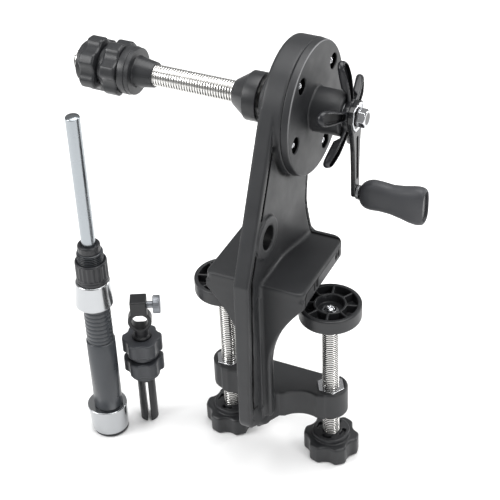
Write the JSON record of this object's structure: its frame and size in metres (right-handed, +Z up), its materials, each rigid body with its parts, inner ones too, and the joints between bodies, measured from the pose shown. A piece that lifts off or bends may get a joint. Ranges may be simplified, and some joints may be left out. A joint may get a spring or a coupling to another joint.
{
  "type": "fishing line winder",
  "caption": "Table-clamp winder that holds a line spool between two cones on a hand-cranked threaded spindle, with a rod handle and a plug-in rod adapter.",
  "frame": {"origin": "middle of the jaw's underside, the face that rests on the table top, midway between the clamp screws", "axes": "+X along the spindle towards the crank, +Y away from the user over the table, +Z up"},
  "size_m": [0.2592, 0.1431, 0.3105],
  "materials": {
    "moulded_black": "fine satin texture on glass-filled nylon",
    "cover_black": "satin",
    "pad_black": "fine matt moulding",
    "rod_steel": "bright zinc-plated thread",
    "plated_steel": "polished plate",
    "hidden_steel": "ground",
    "friction_composite": "pressed fibre",
    "star_graphite": "smooth semi-gloss",
    "crank_black": "black coated die casting",
    "grip_rubber": "matt soft-touch",
    "tube_alloy": "polished with a blue-grey cast",
    "seat_graphite": "satin grey",
    "seat_black": "matt",
    "hood_steel": "polished cup",
    "adapter_black": "matt",
    "adapter_nut_grey": "matt slate grey",
    "thumb_grey": "matt grey"
  },
  "bodies": {
    "stand": {"stand": "moulded_black", "head_cover": "cover_black", "cover_screws": "plated_steel", "spool_side_bearing": "hidden_steel", "friction_washers": "friction_composite", "pressure_plate": "hidden_steel", "spring_washers": "hidden_steel", "clamp_nuts": "plated_steel"},
    "spindle": {"spindle_shaft": "rod_steel", "drag_disc": "hidden_steel", "inner_cone": "pad_black", "crank_arm": "crank_black", "crank_retainer": "plated_steel", "crank_nut": "plated_steel", "knob_pin": "hidden_steel"},
    "star_wheel": {"star_wheel": "star_graphite"},
    "crank_knob": {"crank_knob": "grip_rubber", "knob_end_cap": "star_graphite"},
    "outer_cone": {"outer_cone": "pad_black"},
    "cone_nut": {"cone_nut": "pad_black"},
    "lock_nut": {"lock_nut": "pad_black"},
    "left_pad": {"left_pad": "pad_black"},
    "left_screw": {"left_clamp_screw": "rod_steel", "left_clamp_knob": "pad_black", "left_pad_screw": "plated_steel"},
    "right_pad": {"right_pad": "pad_black"},
    "right_screw": {"right_clamp_screw": "rod_steel", "right_clamp_knob": "pad_black", "right_pad_screw": "plated_steel"},
    "handle": {"reel_seat": "seat_graphite", "fixed_hood": "hood_steel", "handle_end_cap": "seat_black"},
    "handle_tube": {"handle_tube": "tube_alloy"},
    "locking_collar": {"locking_collar": "seat_black"},
    "moving_hood": {"moving_hood": "hood_steel"},
    "reel_seat_nut": {"reel_seat_nut": "seat_black"},
    "adapter": {"adapter_body": "adapter_black"},
    "thumbscrew": {"thumbscrew": "thumb_grey"},
    "adapter_upper_nut": {"adapter_upper_nut": "adapter_nut_grey"},
    "adapter_lower_nut": {"adapter_lower_nut": "adapter_nut_grey"}
  },
  "joints": [
    {"name": "spindle_turn", "type": "hinge", "parent": "stand", "child": "spindle", "pos_m": [0, 0.037, 0.11], "axis": [1, 0, 0], "continuous": true},
    {"name": "star_drag_turn", "type": "hinge", "parent": "spindle", "child": "star_wheel", "pos_m": [0.0373, 0.037, 0.11], "axis": [1, 0, 0], "range_deg": [-30, 360]},
    {"name": "crank_knob_turn", "type": "hinge", "parent": "spindle", "child": "crank_knob", "pos_m": [0.047, 0.037, 0.0512], "axis": [1, 0, 0], "continuous": true},
    {"name": "outer_cone_slide", "type": "slide", "parent": "spindle", "child": "outer_cone", "axis": [1, 0, 0], "range_m": [0, 0.058]},
    {"name": "cone_nut_turn", "type": "hinge", "parent": "outer_cone", "child": "cone_nut", "pos_m": [-0.13, 0.037, 0.11], "axis": [1, 0, 0], "range_deg": [-5, 10445]},
    {"name": "lock_nut_turn", "type": "hinge", "parent": "outer_cone", "child": "lock_nut", "pos_m": [-0.15, 0.037, 0.11], "axis": [1, 0, 0], "range_deg": [-5, 10445]},
    {"name": "left_clamp_travel", "type": "slide", "parent": "stand", "child": "left_pad", "axis": [0, 0, 1], "range_m": [-0.058, 0.0175]},
    {"name": "left_clamp_screw_turn", "type": "hinge", "parent": "left_pad", "child": "left_screw", "pos_m": [-0.04, 0, -0.03], "axis": [0, 0, 1], "range_deg": [-11936.4, 3605]},
    {"name": "right_clamp_travel", "type": "slide", "parent": "stand", "child": "right_pad", "axis": [0, 0, 1], "range_m": [-0.058, 0.0175]},
    {"name": "right_clamp_screw_turn", "type": "hinge", "parent": "right_pad", "child": "right_screw", "pos_m": [0.04, 0, -0.03], "axis": [0, 0, 1], "range_deg": [-11936.4, 3605]},
    {"name": "handle_lift", "type": "slide", "parent": "stand", "child": "handle", "axis": [0, 0, 1], "range_m": [0, 0.1]},
    {"name": "tube_telescope", "type": "slide", "parent": "handle", "child": "handle_tube", "axis": [0, 0, 1], "range_m": [-0.08, 0.04]},
    {"name": "locking_collar_turn", "type": "hinge", "parent": "handle", "child": "locking_collar", "pos_m": [-0.1217, -0.0435, 0.0136], "axis": [0, 0, 1], "range_deg": [-90, 90]},
    {"name": "moving_hood_slide", "type": "slide", "parent": "handle", "child": "moving_hood", "axis": [0, 0, 1], "range_m": [0, 0.007]},
    {"name": "reel_seat_nut_turn", "type": "hinge", "parent": "moving_hood", "child": "reel_seat_nut", "pos_m": [-0.1217, -0.0435, -0.0056], "axis": [0, 0, 1], "range_deg": [-5, 1685]},
    {"name": "adapter_lift", "type": "slide", "parent": "stand", "child": "adapter", "axis": [0, 0, 1], "range_m": [0, 0.1]},
    {"name": "thumbscrew_turn", "type": "hinge", "parent": "adapter", "child": "thumbscrew", "pos_m": [-0.1004, -0.0219, -0.0469], "axis": [0.891, 0.454, 0], "continuous": true},
    {"name": "adapter_upper_nut_turn", "type": "hinge", "parent": "adapter", "child": "adapter_upper_nut", "pos_m": [-0.1004, -0.0219, -0.084], "axis": [0, 0, 1], "continuous": true},
    {"name": "adapter_lower_nut_run", "type": "slide", "parent": "adapter", "child": "adapter_lower_nut", "axis": [0, 0, 1], "range_m": [-0.04, 0]}
  ],
  "couplings": [
    {"joint": "cone_nut_turn", "follows": "outer_cone_slide", "rad_per_m": 3141.6},
    {"joint": "lock_nut_turn", "follows": "outer_cone_slide", "rad_per_m": 3141.6},
    {"joint": "left_clamp_screw_turn", "follows": "left_clamp_travel", "rad_per_m": 3590.4},
    {"joint": "right_clamp_screw_turn", "follows": "right_clamp_travel", "rad_per_m": 3590.4},
    {"joint": "reel_seat_nut_turn", "follows": "moving_hood_slide", "rad_per_m": 4188.8}
  ]
}
